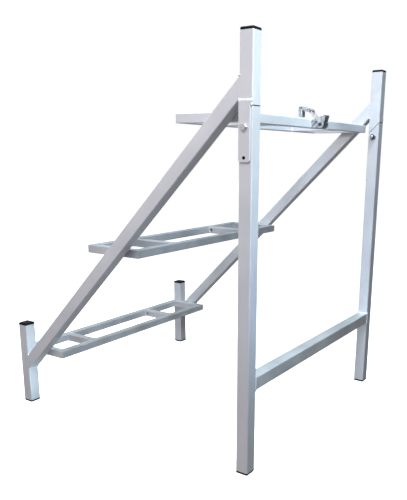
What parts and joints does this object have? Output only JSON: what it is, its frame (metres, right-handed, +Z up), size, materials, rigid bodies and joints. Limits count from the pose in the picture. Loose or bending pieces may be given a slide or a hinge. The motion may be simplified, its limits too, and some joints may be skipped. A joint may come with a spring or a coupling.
{
  "type": "folding sawhorse",
  "caption": "Folding stepped sawhorse of welded square steel tube, with shelf frames at rising heights, swinging front legs, black end caps and a toggle latch on the top shelf.",
  "frame": {"origin": "on the floor, under the middle of the open frame's footprint", "axes": "+Z up, +X to the front where the folding legs stand, +Y to the right-hand side frame seen from behind"},
  "size_m": [0.741, 0.7186, 0.9055],
  "materials": {
    "grey_paint": "light silver-grey paint, satin",
    "black_plastic": "moulded black polyethylene",
    "zinc_steel": "zinc plated"
  },
  "bodies": {
    "rear_frame": {"latch_base": "zinc_steel", "latch_lever_pin": "zinc_steel", "latch_rivets": "zinc_steel", "left_diagonal": "grey_paint", "left_hinge_plate": "grey_paint", "left_lock_nut": "zinc_steel", "left_pivot_bolt": "zinc_steel", "left_pivot_washer": "zinc_steel", "left_post": "grey_paint", "left_post_cap": "black_plastic", "left_rear_foot": "grey_paint", "left_rear_foot_cap": "black_plastic", "left_rear_foot_top_cap": "black_plastic", "lower_shelf_front_bar": "grey_paint", "lower_shelf_left_cross_bar": "grey_paint", "lower_shelf_left_end_bar": "grey_paint", "lower_shelf_rear_bar": "grey_paint", "lower_shelf_right_cross_bar": "grey_paint", "lower_shelf_right_end_bar": "grey_paint", "middle_shelf_front_bar": "grey_paint", "middle_shelf_left_cross_bar": "grey_paint", "middle_shelf_left_end_bar": "grey_paint", "middle_shelf_rear_bar": "grey_paint", "middle_shelf_right_cross_bar": "grey_paint", "middle_shelf_right_end_bar": "grey_paint", "right_diagonal": "grey_paint", "right_hinge_plate": "grey_paint", "right_lock_nut": "zinc_steel", "right_pivot_bolt": "zinc_steel", "right_pivot_washer": "zinc_steel", "right_post": "grey_paint", "right_post_cap": "black_plastic", "right_rear_foot": "grey_paint", "right_rear_foot_cap": "black_plastic", "right_rear_foot_top_cap": "black_plastic", "top_shelf_front_bar": "grey_paint", "top_shelf_left_cross_bar": "grey_paint", "top_shelf_left_end_bar": "grey_paint", "top_shelf_rear_bar": "grey_paint", "top_shelf_right_cross_bar": "grey_paint", "top_shelf_right_end_bar": "grey_paint"},
    "leg_frame": {"left_leg": "grey_paint", "left_leg_cap": "black_plastic", "leg_crossbar": "grey_paint", "right_leg": "grey_paint", "right_leg_cap": "black_plastic"},
    "lever": {"latch_lever": "zinc_steel", "latch_hook_pin": "zinc_steel"},
    "hook": {"latch_hook": "zinc_steel"}
  },
  "joints": [
    {"name": "leg_fold", "type": "hinge", "parent": "rear_frame", "child": "leg_frame", "pos_m": [0.3545, 0, 0.729], "axis": [0, 1, 0], "range_deg": [0, 47]},
    {"name": "lever_swing", "type": "hinge", "parent": "rear_frame", "child": "lever", "pos_m": [0.3535, -0.01, 0.748], "axis": [0, 1, 0], "range_deg": [0, 75]},
    {"name": "hook_swing", "type": "hinge", "parent": "lever", "child": "hook", "pos_m": [0.3405, -0.01, 0.758], "axis": [0, 1, 0], "range_deg": [-15, 40]}
  ]
}
